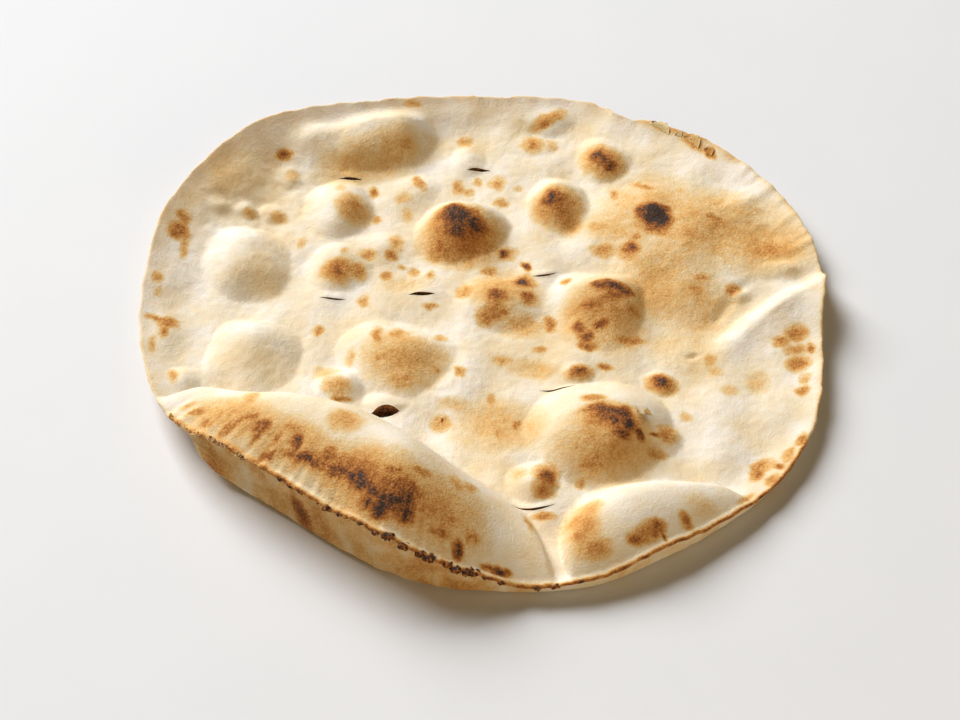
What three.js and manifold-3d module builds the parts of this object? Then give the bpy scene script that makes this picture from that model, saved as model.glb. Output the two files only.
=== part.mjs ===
// Naan: one large flatbread, stretched by hand and baked on the hot wall of a clay oven.
// Two skins of crust meet in a thin seam round the edge. Steam has raised the upper skin into blisters,
// and into two long bubbles behind the front of the seam. Short slits let the steam out.
// Millimetres, +Z up. The bread lies on z = 0, with the middle of its outline at the origin.

import * as THREE from 'three';
import { mergeVertices } from 'three/addons/utils/BufferGeometryUtils.js';
import Module from 'manifold-3d';

// Crust
const CRUST_THICKNESS = 6; // between the blisters
const SEAM_THICKNESS = 2.4;
const SEAM_WIDTH = 3; // the lip where the two skins are pressed together
const THINNING = 14; // how far in from the lip blisters can reach their full height
const CURL_POWER = 1.3; // a long curl of the lower skin up to the seam: 1 is a straight slope
const CURL_SQUARING = 7; // a short curl stands up squarer
const DISH_POWER = 1.7; // the upper skin climbs to the seam like the side of a dish
const DISH_LEAST = 26; // over at least this far, in which the crust also thins
const SKINS_LEAST = 1.6; // the two skins come no closer than this
const BELLY_SWELL = 0.25; // a short curl swells past the lip by this share of the seam's height
const BELLY_FULL = 6; // rest distance at which a curl is short enough to swell fully
const BELLY_NONE = 14; // and at which it doesn't swell

// Rim, a row for each 12 degrees anticlockwise from +X: radius, height of the seam above the table,
// and how far in from the lip the lower skin comes to rest
const RIM = [
  [157, 8, 30], [164, 9, 34], [166, 9, 31], [165, 9, 28], [162, 9, 28],
  [155.5, 9, 29], [155, 9, 32], [149.5, 11, 35], [147.5, 13, 38], [149.5, 16, 41],
  [156.5, 18, 45], [165, 21, 47], [167, 20, 49], [168, 17, 49], [164, 12.5, 46],
  [161.5, 10, 41], [158.5, 11.5, 35], [155, 16, 16], [145.5, 26.5, 5], [139.8, 29, 3],
  [140, 29, 3], [144.3, 30, 3], [147.5, 19.5, 3], [149.5, 7.5, 3], [153, 8.5, 3],
  [152.5, 12, 3], [155, 9, 3.5], [159, 7, 6], [160.5, 8, 16], [158, 9, 26],
];

// Long bubbles behind the seam: the stretch of rim in degrees, the width in from the lip, the rise of
// the crest above the seam, and how each end runs out (near 0 is blunt, 1 is a straight taper)
const BUBBLES = [
  { from: 198, to: 281.5, width: 69, rise: 12, fromEnd: 0.3, toEnd: 0.25 },
  { from: 284, to: 319, width: 46, rise: 9, fromEnd: 0.3, toEnd: 0.45 },
];
const BUBBLE_CREST = 0.46; // share of the width, in from the lip
const BUBBLE_HEIGHT_POWER = 1.4; // the height runs out sooner than the width does
const BUBBLE_BACK_POWER = 1.25;
const BUBBLE_FILLET = 6;
const BUBBLE_END_FADE = 0.5; // fullness below which the ends sink into the sheet
const BUBBLE_TAIL = 0.3; // share of the width over which the fillet behind runs out

// Blisters: x and y of the peak, reach to the left, right, front and back, turn in degrees, height,
// and fullness (near 1 stands up from the sheet at a crease, 1.7 swells out of it softly)
const BLISTERS = [
  [-45, 126, 54, 21, 23, 20, 20, 9, 1.15],
  [-76, 108, 26, 36, 17, 22, 22, 2.5, 1.15],
  [-113, 40, 23, 22, 24, 23, 0, 9, 1.25],
  [-107, -15, 23, 22, 26, 21, 0, 8.5, 1.25],
  [-72, 76, 19, 19, 20, 18, 0, 8.5, 1.2],
  [-70, 40, 16, 16, 17, 14, 0, 5.5, 1.3],
  [-42, -16, 27, 28, 27, 22, 0, 9.5, 1.2],
  [-67, -33, 13, 13, 14, 12, 0, 4.5, 1.3],
  [-46, -45, 11, 11, 6, 9, 0, 3.5, 1.4],
  [-12, 66, 23, 23, 26, 15, 0, 13.5, 1.25],
  [34, 82, 15, 17, 27, 15, 25, 8, 1.35],
  [58, 110, 14, 14, 15, 13, 0, 4.5, 1.35],
  [83, 72, 12, 12, 13, 12, 0, 5, 1.5],
  [55.5, 20, 26, 20.5, 36, 17, 0, 12, 1.2],
  [6, 17, 21, 22, 20, 19, 0, 5.5, 1.4],
  [54, -60, 37, 31, 33, 29, 0, 14.5, 1.2],
  [78, -67, 11, 12, 11, 10, 0, 4.5, 1.35],
  [22, -91, 14, 12, 12, 12, 0, 6, 1.25],
  [-8, 109, 11, 11, 11, 11, 0, 2.5, 1.4],
  [-128, 74, 7, 7, 6.5, 6.5, 0, 1.8, 1.3],
  [-115, 74, 6.5, 6.5, 6.5, 6, 0, 2, 1.3],
  [-103, 73, 7, 7, 7, 6.5, 0, 2.3, 1.3],
  [-96, 96, 9, 9, 8, 8, 0, 2.6, 1.4],
  [-137, -30, 10, 9, 12, 9, 0, 2.6, 1.5],
  [43, -27, 8, 8, 7, 7, 0, 2.2, 1.5],
  [81, -33, 9, 9, 9, 9, 0, 2.4, 1.5],
  [-52, 50, 18, 14, 12, 12, 0, 2, 1.7],
  [34, 138, 16, 16, 12, 12, 20, 2.5, 1.7],
  [24, 120, 12, 12, 10, 10, 0, 2, 1.7],
  [80, 60, 40, 62, 50, 55, -35, 5.5, 1.4],
  [-33, 90, 12, 12, 14, 12, 0, 2.2, 1.7],
  [121.5, 22.5, 6, 6, 4.5, 4, 20, 2, 1.3],
];
const BLISTER_JOIN_POWER = 3; // where blisters meet, the higher one carries through

// The fold in the right edge: a trough runs in and turns a corner to the front, and inside the corner
// the sheet climbs to a flap that falls away slowly
const FOLD_LINES = [ // x and y of the ends of each stretch of trough, with the flap on its left
  [166, 39, 113, 9],
  [113, 9, 98, -19],
];
const FOLD_CORNER = 14;
const FOLD_CLIMB = 9;
const FOLD_CLIMB_WIDTH = 13;
const FOLD_FALL = 42;
const FOLD_DIP = 3;
const FOLD_DIP_WIDTH = 9;
const FOLD_END = -24; // y where the fold has run out
const FOLD_FULL = 12; // y where it starts to

// Slow waves of the hand-stretched sheet, which also push the blisters out of true
const WAVE_COUNT = 14;
const WAVE_SHORTEST = 24;
const WAVE_STEP = 3.3;
const WAVE_HEIGHT = 0.7;
const WAVE_SHIFT = 1;
const GOLDEN_ANGLE = Math.PI * (3 - Math.sqrt(5));

// Slits cut through the sheet: x and y of the middle, length, width, turn in degrees, and how far the
// middle bows out of the line between the ends
const SLITS = [
  [-66, 96, 12, 1.2, -2, 0],
  [-3, 102.5, 12, 1.4, 3, 0.5],
  [-30, 20.5, 13, 1.7, 2, 0],
  [-72, 19, 13, 0.9, 0, -0.7],
  [-46, -50, 14, 5, 4, 0],
  [21, -103, 20, 1, 5, -2.5],
  [33, -36, 17, 1, 5, -2],
];
const SLIT_TOP = 60; // above every crest
const SLIT_BOTTOM = -5;
const SLIT_CURVE_STEPS = 5;

// Mesh rows
const SHEET_RINGS = 28; // ring k of the sheet has 6 k corners
const RING_SIDES = 6;
const SHEET_EDGE = 12;
const UPPER_RIM_ROWS = [8, 5, 3, 0.7]; // distance in from the edge
const LOWER_LIP_ROWS = [0.7, SEAM_WIDTH];
const CURL_STEPS = 8; // rows down the curl of the lower skin
const UNDERSIDE_RINGS = [16, 10, 5]; // multiples of six corners in the rings inside the curl

const TURN = 2 * Math.PI;
const degrees = THREE.MathUtils.radToDeg;
const radians = THREE.MathUtils.degToRad;

function smoothStep(value) {
  return THREE.MathUtils.smoothstep(value, 0, 1);
}

// The larger of two heights, with a fillet where they are closer together than its size
function smoothMax(first, second, fillet) {
  const nearness = Math.max(1 - Math.abs(first - second) / Math.max(fillet, 1e-6), 0);
  return Math.max(first, second) + 0.25 * fillet * nearness * nearness;
}

// Smooth closed curve through the rim's rows, for one column of the table
function rimValue(angle, column) {
  const place = (angle / TURN) * RIM.length;
  const row = Math.floor(place);
  const part = place - row;
  const [before, here, next, after] = [-1, 0, 1, 2].map(
    (step) => RIM[(row + step + RIM.length) % RIM.length][column],
  );
  const slope = next - before;
  const bend = 2 * before - 5 * here + 4 * next - after;
  const twist = 3 * here - before - 3 * next + after;
  return here + 0.5 * part * (slope + part * (bend + part * twist));
}

function rimAt(angle) {
  return { radius: rimValue(angle, 0), seam: rimValue(angle, 1), rest: rimValue(angle, 2) };
}

// Sum of sine waves of different lengths, turned against each other
function waves(x, y, seed) {
  let sum = 0;
  for (let index = 0; index < WAVE_COUNT; index += 1) {
    const direction = GOLDEN_ANGLE * index + seed;
    const along = x * Math.cos(direction) + y * Math.sin(direction);
    const length = WAVE_SHORTEST + WAVE_STEP * index;
    sum += Math.sin((TURN * along) / length + seed * index + index * index);
  }
  return sum / Math.sqrt(WAVE_COUNT / 2);
}

function blisterHeight(x, y) {
  let sum = 0;
  for (const [peakX, peakY, left, right, front, back, turn, height, fullness] of BLISTERS) {
    const cos = Math.cos(radians(turn));
    const sin = Math.sin(radians(turn));
    const along = (x - peakX) * cos + (y - peakY) * sin;
    const across = (y - peakY) * cos - (x - peakX) * sin;
    const reach = Math.hypot(along / (along > 0 ? right : left), across / (across > 0 ? back : front));
    if (reach < 1) {
      sum += (height * (1 - reach * reach) ** fullness) ** BLISTER_JOIN_POWER;
    }
  }
  return sum ** (1 / BLISTER_JOIN_POWER);
}

function foldHeight(x, y) {
  const [backSide, leftSide] = FOLD_LINES.map(([fromX, fromY, toX, toY]) => {
    const runX = toX - fromX;
    const runY = toY - fromY;
    return ((y - fromY) * runX - (x - fromX) * runY) / Math.hypot(runX, runY);
  });
  const flap = -smoothMax(-backSide, -leftSide, FOLD_CORNER);
  const climb = smoothStep(flap / FOLD_CLIMB_WIDTH);
  const fall = Math.exp(-Math.max(flap - FOLD_CLIMB_WIDTH, 0) / FOLD_FALL);
  const dip = FOLD_DIP * Math.exp(-((flap / FOLD_DIP_WIDTH) ** 2));
  const runOut = smoothStep((y - FOLD_END) / (FOLD_FULL - FOLD_END));
  return runOut * (FOLD_CLIMB * climb * fall - dip);
}

// How far the long bubbles lift the upper skin above the sheet
function bubbleLift(inward, angle, seamTop, sheet, fillet) {
  let lift = 0;
  for (const { from, to, width, rise, fromEnd, toEnd } of BUBBLES) {
    const along = (degrees(angle) - from) / (to - from);
    if (along > 0 && along < 1) {
      const fullest = fromEnd / (fromEnd + toEnd);
      const fullness = (along / fullest) ** fromEnd * ((1 - along) / (1 - fullest)) ** toEnd;
      const crest = seamTop + rise * fullness ** BUBBLE_HEIGHT_POWER;
      const crossing = inward / (width * fullness);
      const before = Math.max(1 - crossing / BUBBLE_CREST, 0);
      const behind = Math.min(Math.max((crossing - BUBBLE_CREST) / (1 - BUBBLE_CREST), 0), 1);
      const face = crest - (crest - seamTop) * before * before;
      const skin = face * (1 - behind * behind) ** BUBBLE_BACK_POWER;
      const tail = smoothStep((1 + BUBBLE_TAIL - crossing) / BUBBLE_TAIL);
      lift += (smoothMax(sheet, skin, fillet) - sheet) * tail * smoothStep(fullness / BUBBLE_END_FADE);
    }
  }
  return lift;
}

// How far the curl of the lower skin is squared off
function squarenessOf(rest) {
  return CURL_POWER + CURL_SQUARING / rest;
}

// Heights of both skins, and how far the lower one swells out, at a share of the way from the middle
// to the edge
function skinsAt(share, angle) {
  const { radius, seam, rest } = rimAt(angle);
  const foldedSeam = seam + foldHeight(radius * Math.cos(angle), radius * Math.sin(angle));
  const x = share * radius * Math.cos(angle);
  const y = share * radius * Math.sin(angle);
  const fromEdge = (1 - share) * radius;
  const inward = Math.max(fromEdge - SEAM_WIDTH, 0);

  const dishWidth = Math.max(rest, DISH_LEAST) + SEAM_WIDTH;
  const dish = seam * Math.max(1 - fromEdge / dishWidth, 0) ** DISH_POWER;
  const body = smoothStep(inward / THINNING);
  const thickness = SEAM_THICKNESS + (CRUST_THICKNESS - SEAM_THICKNESS) * smoothStep(fromEdge / dishWidth);
  const shiftedX = x + WAVE_SHIFT * waves(x, y, 1);
  const shiftedY = y + WAVE_SHIFT * waves(x, y, 2);
  const raised = blisterHeight(shiftedX, shiftedY) + WAVE_HEIGHT * waves(x, y, 3);
  const sheet = dish + foldHeight(x, y) + thickness + body * raised;
  const upper = sheet + bubbleLift(inward, angle, seam + SEAM_THICKNESS, sheet, BUBBLE_FILLET * body);

  const curl = Math.max(1 - inward / rest, 0);
  const squareness = squarenessOf(rest);
  const climbed = 1 - (1 - curl ** squareness) ** (1 / squareness);
  const lower = Math.min(foldedSeam * climbed, upper - SKINS_LEAST);
  const steepness = smoothStep((BELLY_NONE - rest) / (BELLY_NONE - BELLY_FULL));
  const swell = BELLY_SWELL * seam * steepness * 4 * climbed * (1 - climbed);
  return { x, y, lower, upper, swell };
}

// Closed mesh of rows of corners: the sheet's rings on top, the edge, then the underside's rows
function breadGeometry() {
  const corners = [];
  const triangles = [];

  // Corners round one row, whose share of the way to the edge is a function of the angle
  function addRow(shareAt, count, placeOf) {
    return Array.from({ length: count }, (_, index) => {
      const angle = (TURN * index) / count;
      corners.push(...placeOf(skinsAt(shareAt(angle), angle), angle));
      return corners.length / 3 - 1;
    });
  }
  const onUpper = ({ x, y, upper }) => [x, y, upper];
  const onLip = ({ x, y, upper, lower }) => [x, y, (upper + lower) / 2];
  const onLower = ({ x, y, lower, swell }, angle) => [
    x + swell * Math.cos(angle),
    y + swell * Math.sin(angle),
    lower,
  ];

  // Triangles between two rows whose corners run anticlockwise, facing up where the first row is the outer
  function joinRows(outer, inner) {
    let out = 0;
    let into = 0;
    while (out < outer.length || (inner.length > 1 && into < inner.length)) {
      const outerNext = outer[(out + 1) % outer.length];
      const innerNext = inner[(into + 1) % inner.length];
      const here = outer[out % outer.length];
      const there = inner[into % inner.length];
      const outerLeads = (out + 1) / outer.length <= (into + 1) / inner.length;
      if (outerLeads) {
        triangles.push(here, outerNext, there);
        out += 1;
      } else {
        triangles.push(here, innerNext, there);
        into += 1;
      }
    }
  }

  const rimCorners = RING_SIDES * SHEET_RINGS;
  const inFromEdge = (distance) => (angle) => 1 - distance / rimAt(angle).radius;
  const sheetEdge = inFromEdge(SHEET_EDGE);
  const rows = [addRow(() => 0, 1, onUpper)];
  for (let ring = 1; ring <= SHEET_RINGS; ring += 1) {
    rows.push(addRow((angle) => (sheetEdge(angle) * ring) / SHEET_RINGS, RING_SIDES * ring, onUpper));
  }
  for (const distance of UPPER_RIM_ROWS) {
    rows.push(addRow(inFromEdge(distance), rimCorners, onUpper));
  }
  rows.push(addRow(() => 1, rimCorners, onLip));
  for (let row = 1; row < rows.length; row += 1) {
    joinRows(rows[row], rows[row - 1]);
  }

  const underside = [rows.at(-1)];
  for (const distance of LOWER_LIP_ROWS) {
    underside.push(addRow(inFromEdge(distance), rimCorners, onLower));
  }
  for (let step = 1; step <= CURL_STEPS; step += 1) {
    const quarter = Math.max(Math.cos((0.25 * TURN * step) / CURL_STEPS), 0);
    const shareAt = (angle) => {
      const { radius, rest } = rimAt(angle);
      const curl = quarter ** (2 / squarenessOf(rest));
      return 1 - (SEAM_WIDTH + rest * (1 - curl)) / radius;
    };
    underside.push(addRow(shareAt, rimCorners, onLower));
  }
  const restShare = (angle) => 1 - (SEAM_WIDTH + rimAt(angle).rest) / rimAt(angle).radius;
  for (const sides of UNDERSIDE_RINGS) {
    underside.push(addRow((angle) => (restShare(angle) * sides) / SHEET_RINGS, RING_SIDES * sides, onLower));
  }
  underside.push(addRow(() => 0, 1, onLower));
  const upperTriangles = triangles.length;
  for (let row = 1; row < underside.length; row += 1) {
    joinRows(underside[row - 1], underside[row]);
  }
  for (let corner = upperTriangles; corner < triangles.length; corner += 3) {
    [triangles[corner + 1], triangles[corner + 2]] = [triangles[corner + 2], triangles[corner + 1]];
  }

  const geometry = new THREE.BufferGeometry();
  geometry.setAttribute('position', new THREE.Float32BufferAttribute(corners, 3));
  geometry.setIndex(triangles);
  return geometry;
}

// Upright blade with a pointed outline, as long, wide and bowed as the slit
function slitGeometry(x, y, length, width, turn, bow) {
  const outline = new THREE.Shape();
  outline.moveTo(-length / 2, 0);
  outline.quadraticCurveTo(0, 2 * bow - width, length / 2, 0);
  outline.quadraticCurveTo(0, 2 * bow + width, -length / 2, 0);
  const blade = new THREE.ExtrudeGeometry(outline, {
    depth: SLIT_TOP - SLIT_BOTTOM,
    bevelEnabled: false,
    curveSegments: SLIT_CURVE_STEPS,
  });
  blade.rotateZ(radians(turn));
  blade.translate(x, y, SLIT_BOTTOM);
  blade.deleteAttribute('normal');
  blade.deleteAttribute('uv');
  return mergeVertices(blade);
}

const wasm = await Module();
wasm.setup();

function solidOf(geometry) {
  const mesh = new wasm.Mesh({
    numProp: 3,
    vertProperties: new Float32Array(geometry.attributes.position.array),
    triVerts: new Uint32Array(geometry.index.array),
  });
  return new wasm.Manifold(mesh);
}

function geometryOf(solid) {
  const mesh = solid.getMesh();
  const geometry = new THREE.BufferGeometry();
  geometry.setAttribute('position', new THREE.BufferAttribute(mesh.vertProperties, 3));
  geometry.setIndex(new THREE.BufferAttribute(mesh.triVerts, 1));
  return geometry;
}

// Bread with its slits, set so that the middle of its box is over the origin
let bread = solidOf(breadGeometry());
for (const slit of SLITS) {
  bread = bread.subtract(solidOf(slitGeometry(...slit)));
}
const breadMesh = geometryOf(bread);
breadMesh.computeBoundingBox();
const boxMiddle = breadMesh.boundingBox.getCenter(new THREE.Vector3());
breadMesh.translate(-boxMiddle.x, -boxMiddle.y, 0);
breadMesh.computeVertexNormals();

const crust = new THREE.MeshStandardMaterial({ color: 0xeadbbd, roughness: 0.82, metalness: 0 });
const naan = new THREE.Mesh(breadMesh, crust);
naan.name = 'naan';

const part = new THREE.Group();
part.add(naan);

export default part;
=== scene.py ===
# Naan: one large flatbread from a clay oven, lying as it was served, seen from the front and above.
# Sizes are millimetres in the script and metres in Blender. +Z is up, and the bread lies on z = 0.

import math

import bmesh
import bpy
import numpy as np
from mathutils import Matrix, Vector


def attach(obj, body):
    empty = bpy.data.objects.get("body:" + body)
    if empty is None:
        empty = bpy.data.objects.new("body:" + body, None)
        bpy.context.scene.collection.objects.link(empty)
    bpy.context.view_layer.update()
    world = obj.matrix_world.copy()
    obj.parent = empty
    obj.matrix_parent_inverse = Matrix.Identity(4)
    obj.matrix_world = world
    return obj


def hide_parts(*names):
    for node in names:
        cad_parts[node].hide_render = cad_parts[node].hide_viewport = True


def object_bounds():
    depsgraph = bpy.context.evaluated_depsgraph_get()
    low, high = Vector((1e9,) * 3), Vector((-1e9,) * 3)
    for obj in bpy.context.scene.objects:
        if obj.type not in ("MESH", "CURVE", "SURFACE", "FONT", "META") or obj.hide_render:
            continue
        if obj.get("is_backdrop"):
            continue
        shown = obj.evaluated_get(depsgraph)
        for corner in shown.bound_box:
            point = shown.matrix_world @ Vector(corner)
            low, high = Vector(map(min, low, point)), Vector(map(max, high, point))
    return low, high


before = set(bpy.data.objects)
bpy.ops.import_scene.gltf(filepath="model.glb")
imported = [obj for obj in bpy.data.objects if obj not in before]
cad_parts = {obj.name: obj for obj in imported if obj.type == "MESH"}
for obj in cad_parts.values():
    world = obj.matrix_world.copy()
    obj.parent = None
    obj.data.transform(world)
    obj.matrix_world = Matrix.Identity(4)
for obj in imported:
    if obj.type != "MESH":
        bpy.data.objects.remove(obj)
cad_low, cad_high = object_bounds()


# Sheet of dough
# A round of soft wheat dough, stretched by hand over a cushion and slapped on the hot oven wall.
# Its two skins are pressed together in a thin seam, and the lower one curls up to it from the floor.

CRUST_THICKNESS = 6  # between the blisters
SEAM_THICKNESS = 2.4
SEAM_WIDTH = 3  # the lip where the two skins are pressed together
THINNING = 14  # how far in from the lip blisters can reach their full height
CURL_POWER = 1.3  # a long curl of the lower skin up to the seam: 1 is a straight slope
CURL_SQUARING = 7  # a short curl stands up squarer
DISH_POWER = 1.7  # the upper skin climbs to the seam like the side of a dish
DISH_LEAST = 26  # over at least this far, in which the crust also thins
SKINS_LEAST = 1.6  # the two skins come no closer than this
BELLY_SWELL = 0.25  # a short curl swells past the lip by this share of the seam's height
BELLY_REST = (6, 14)  # rest distances at which a curl swells fully and not at all

# A row for each 12 degrees anticlockwise from +X: radius, height of the seam above the floor, and
# how far in from the lip the lower skin comes to rest
RIM = np.array([
    [157, 8, 30], [164, 9, 34], [166, 9, 31], [165, 9, 28], [162, 9, 28],
    [155.5, 9, 29], [155, 9, 32], [149.5, 11, 35], [147.5, 13, 38], [149.5, 16, 41],
    [156.5, 18, 45], [165, 21, 47], [167, 20, 49], [168, 17, 49], [164, 12.5, 46],
    [161.5, 10, 41], [158.5, 11.5, 35], [155, 16, 16], [145.5, 26.5, 5], [139.8, 29, 3],
    [140, 29, 3], [144.3, 30, 3], [147.5, 19.5, 3], [149.5, 7.5, 3], [153, 8.5, 3],
    [152.5, 12, 3], [155, 9, 3.5], [159, 7, 6], [160.5, 8, 16], [158, 9, 26],
])

# Slow waves of the stretched sheet, which also push the blisters out of true
WAVE_COUNT = 14
WAVE_SHORTEST = 24
WAVE_STEP = 3.3
WAVE_HEIGHT = 0.7
WAVE_SHIFT = 1
GOLDEN_ANGLE = math.pi * (3 - math.sqrt(5))
TURN = 2 * math.pi

NOISE_CELLS = 256  # after which the field repeats
NOISE_GAIN = 1.5  # brings it up to about -1 to 1


def smooth_step(value):
    part = np.clip(value, 0, 1)
    return part * part * (3 - 2 * part)


def noise(x, y, pitch, seed):
    """Smooth random field from about -1 to 1, on a lattice whose cells are as wide as the pitch."""
    turns = np.random.default_rng(seed).uniform(0, TURN, (NOISE_CELLS, NOISE_CELLS))
    column = np.floor(x / pitch).astype(int)
    row = np.floor(y / pitch).astype(int)
    across = x / pitch - column
    up = y / pitch - row
    total = 0
    for right in (0, 1):
        for back in (0, 1):
            turn = turns[(column + right) % NOISE_CELLS, (row + back) % NOISE_CELLS]
            slope = np.cos(turn) * (across - right) + np.sin(turn) * (up - back)
            near = smooth_step(1 - abs(across - right)) * smooth_step(1 - abs(up - back))
            total = total + NOISE_GAIN * near * slope
    return total


def rim_at(angle):
    """Radius, seam height and rest distance, on a smooth closed curve through the rim's rows."""
    place = (angle % TURN) / TURN * len(RIM)
    row = np.floor(place).astype(int)
    part = (place - row)[..., None]
    before, here, after, second = (RIM[(row + step) % len(RIM)] for step in (-1, 0, 1, 2))
    slope = after - before
    bend = 2 * before - 5 * here + 4 * after - second
    twist = 3 * here - before - 3 * after + second
    return np.moveaxis(here + 0.5 * part * (slope + part * (bend + part * twist)), -1, 0)


def waves(x, y, seed):
    """Sum of sine waves of different lengths, turned against each other."""
    total = 0
    for index in range(WAVE_COUNT):
        direction = GOLDEN_ANGLE * index + seed
        along = x * math.cos(direction) + y * math.sin(direction)
        length = WAVE_SHORTEST + WAVE_STEP * index
        total = total + np.sin(TURN * along / length + seed * index + index * index)
    return total / math.sqrt(WAVE_COUNT / 2)


# Blisters
# Steam lifts the upper skin off the dough in domes, with the skin drawn tight over each of them.
# Rows: x and y of the peak, reach to the left, right, front and back, turn in degrees, height, and
# fullness (near 1 stands up from the sheet at a crease, 1.7 swells out of it softly).

BLISTERS = [
    (-45, 126, 54, 21, 23, 20, 20, 9, 1.15),
    (-76, 108, 26, 36, 17, 22, 22, 2.5, 1.15),
    (-113, 40, 23, 22, 24, 23, 0, 9, 1.25),
    (-107, -15, 23, 22, 26, 21, 0, 8.5, 1.25),
    (-72, 76, 19, 19, 20, 18, 0, 8.5, 1.2),
    (-70, 40, 16, 16, 17, 14, 0, 5.5, 1.3),
    (-42, -16, 27, 28, 27, 22, 0, 9.5, 1.2),
    (-67, -33, 13, 13, 14, 12, 0, 4.5, 1.3),
    (-46, -45, 11, 11, 6, 9, 0, 3.5, 1.4),
    (-12, 66, 23, 23, 26, 15, 0, 13.5, 1.25),
    (34, 82, 15, 17, 27, 15, 25, 8, 1.35),
    (58, 110, 14, 14, 15, 13, 0, 4.5, 1.35),
    (83, 72, 12, 12, 13, 12, 0, 5, 1.5),
    (55.5, 20, 26, 20.5, 36, 17, 0, 12, 1.2),
    (6, 17, 21, 22, 20, 19, 0, 5.5, 1.4),
    (54, -60, 37, 31, 33, 29, 0, 14.5, 1.2),
    (78, -67, 11, 12, 11, 10, 0, 4.5, 1.35),
    (22, -91, 14, 12, 12, 12, 0, 6, 1.25),
    (-8, 109, 11, 11, 11, 11, 0, 2.5, 1.4),
    (-128, 74, 7, 7, 6.5, 6.5, 0, 1.8, 1.3),
    (-115, 74, 6.5, 6.5, 6.5, 6, 0, 2, 1.3),
    (-103, 73, 7, 7, 7, 6.5, 0, 2.3, 1.3),
    (-96, 96, 9, 9, 8, 8, 0, 2.6, 1.4),
    (-137, -30, 10, 9, 12, 9, 0, 2.6, 1.5),
    (43, -27, 8, 8, 7, 7, 0, 2.2, 1.5),
    (81, -33, 9, 9, 9, 9, 0, 2.4, 1.5),
    (-52, 50, 18, 14, 12, 12, 0, 2, 1.7),
    (34, 138, 16, 16, 12, 12, 20, 2.5, 1.7),
    (24, 120, 12, 12, 10, 10, 0, 2, 1.7),
    (80, 60, 40, 62, 50, 55, -35, 5.5, 1.4),
    (-33, 90, 12, 12, 14, 12, 0, 2.2, 1.7),
    (121.5, 22.5, 6, 6, 4.5, 4, 20, 2, 1.3),
]
BLISTER_JOIN_POWER = 3  # where blisters meet, the higher one carries through


def turned(x, y, middle_x, middle_y, turn):
    """Distances from a middle, along and across a direction that is turned by some degrees."""
    cos, sin = math.cos(math.radians(turn)), math.sin(math.radians(turn))
    along = (x - middle_x) * cos + (y - middle_y) * sin
    across = (y - middle_y) * cos - (x - middle_x) * sin
    return along, across


def blister_height(x, y):
    total = np.zeros_like(x)
    for peak_x, peak_y, left, right, front, back, turn, height, fullness in BLISTERS:
        along, across = turned(x, y, peak_x, peak_y, turn)
        reach = np.hypot(along / np.where(along > 0, right, left), across / np.where(across > 0, back, front))
        dome = height * np.maximum(1 - reach * reach, 0) ** fullness
        total += dome ** BLISTER_JOIN_POWER
    return total ** (1 / BLISTER_JOIN_POWER)


# Long bubbles
# Behind the front of the seam the two skins have parted in two long pillows, one on the left and a
# smaller one on the right. Their near side runs up from the seam, and their back falls to the sheet.

# The stretch of rim in degrees, the width in from the lip, the rise of the crest above the seam, and how
# each end runs out (near 0 is blunt, 1 is a straight taper)
BUBBLES = [
    {"from": 198, "to": 281.5, "width": 69, "rise": 12, "from_end": 0.3, "to_end": 0.25},
    {"from": 284, "to": 319, "width": 46, "rise": 9, "from_end": 0.3, "to_end": 0.45},
]
BUBBLE_CREST = 0.46  # share of the width, in from the lip
BUBBLE_HEIGHT_POWER = 1.4  # the height runs out sooner than the width does
BUBBLE_BACK_POWER = 1.25
BUBBLE_FILLET = 6
BUBBLE_END_FADE = 0.5  # fullness below which the ends sink into the sheet
BUBBLE_TAIL = 0.3  # share of the width over which the fillet behind runs out


def smooth_max(first, second, fillet):
    """The larger of two heights, with a fillet where they are closer together than its size."""
    nearness = np.maximum(1 - abs(first - second) / np.maximum(fillet, 1e-6), 0)
    return np.maximum(first, second) + 0.25 * fillet * nearness ** 2


def bubble_lift(inward, angle, seam_top, sheet, fillet):
    """How far the long bubbles lift the upper skin above the sheet."""
    lift = np.zeros_like(sheet)
    for bubble in BUBBLES:
        along = (np.degrees(angle % TURN) - bubble["from"]) / (bubble["to"] - bubble["from"])
        along = np.clip(along, 1e-6, 1 - 1e-6)
        fullest = bubble["from_end"] / (bubble["from_end"] + bubble["to_end"])
        fullness = (along / fullest) ** bubble["from_end"]
        fullness = fullness * ((1 - along) / (1 - fullest)) ** bubble["to_end"]
        crest = seam_top + bubble["rise"] * fullness ** BUBBLE_HEIGHT_POWER
        crossing = inward / (bubble["width"] * fullness)
        before = np.maximum(1 - crossing / BUBBLE_CREST, 0)
        behind = np.clip((crossing - BUBBLE_CREST) / (1 - BUBBLE_CREST), 0, 1)
        face = crest - (crest - seam_top) * before ** 2
        skin = face * (1 - behind ** 2) ** BUBBLE_BACK_POWER
        tail = smooth_step((1 + BUBBLE_TAIL - crossing) / BUBBLE_TAIL)
        lift += (smooth_max(sheet, skin, fillet) - sheet) * tail * smooth_step(fullness / BUBBLE_END_FADE)
    return lift


# Fold
# The right edge was pushed in as the bread was laid down. A trough runs in from the edge and turns a
# corner to the front, and inside the corner the sheet climbs to a flap that falls away slowly.

# From and to of the two stretches of trough, with the flap on their left
FOLD_LINES = [((166, 39), (113, 9)), ((113, 9), (98, -19))]
FOLD_CORNER = 14  # fillet where the two stretches meet
FOLD_CLIMB = 9
FOLD_CLIMB_WIDTH = 13
FOLD_FALL = 42
FOLD_DIP = 3
FOLD_DIP_WIDTH = 9
FOLD_RUN_OUT = (-24, 12)  # y where the fold has run out, and where it starts to


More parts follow.
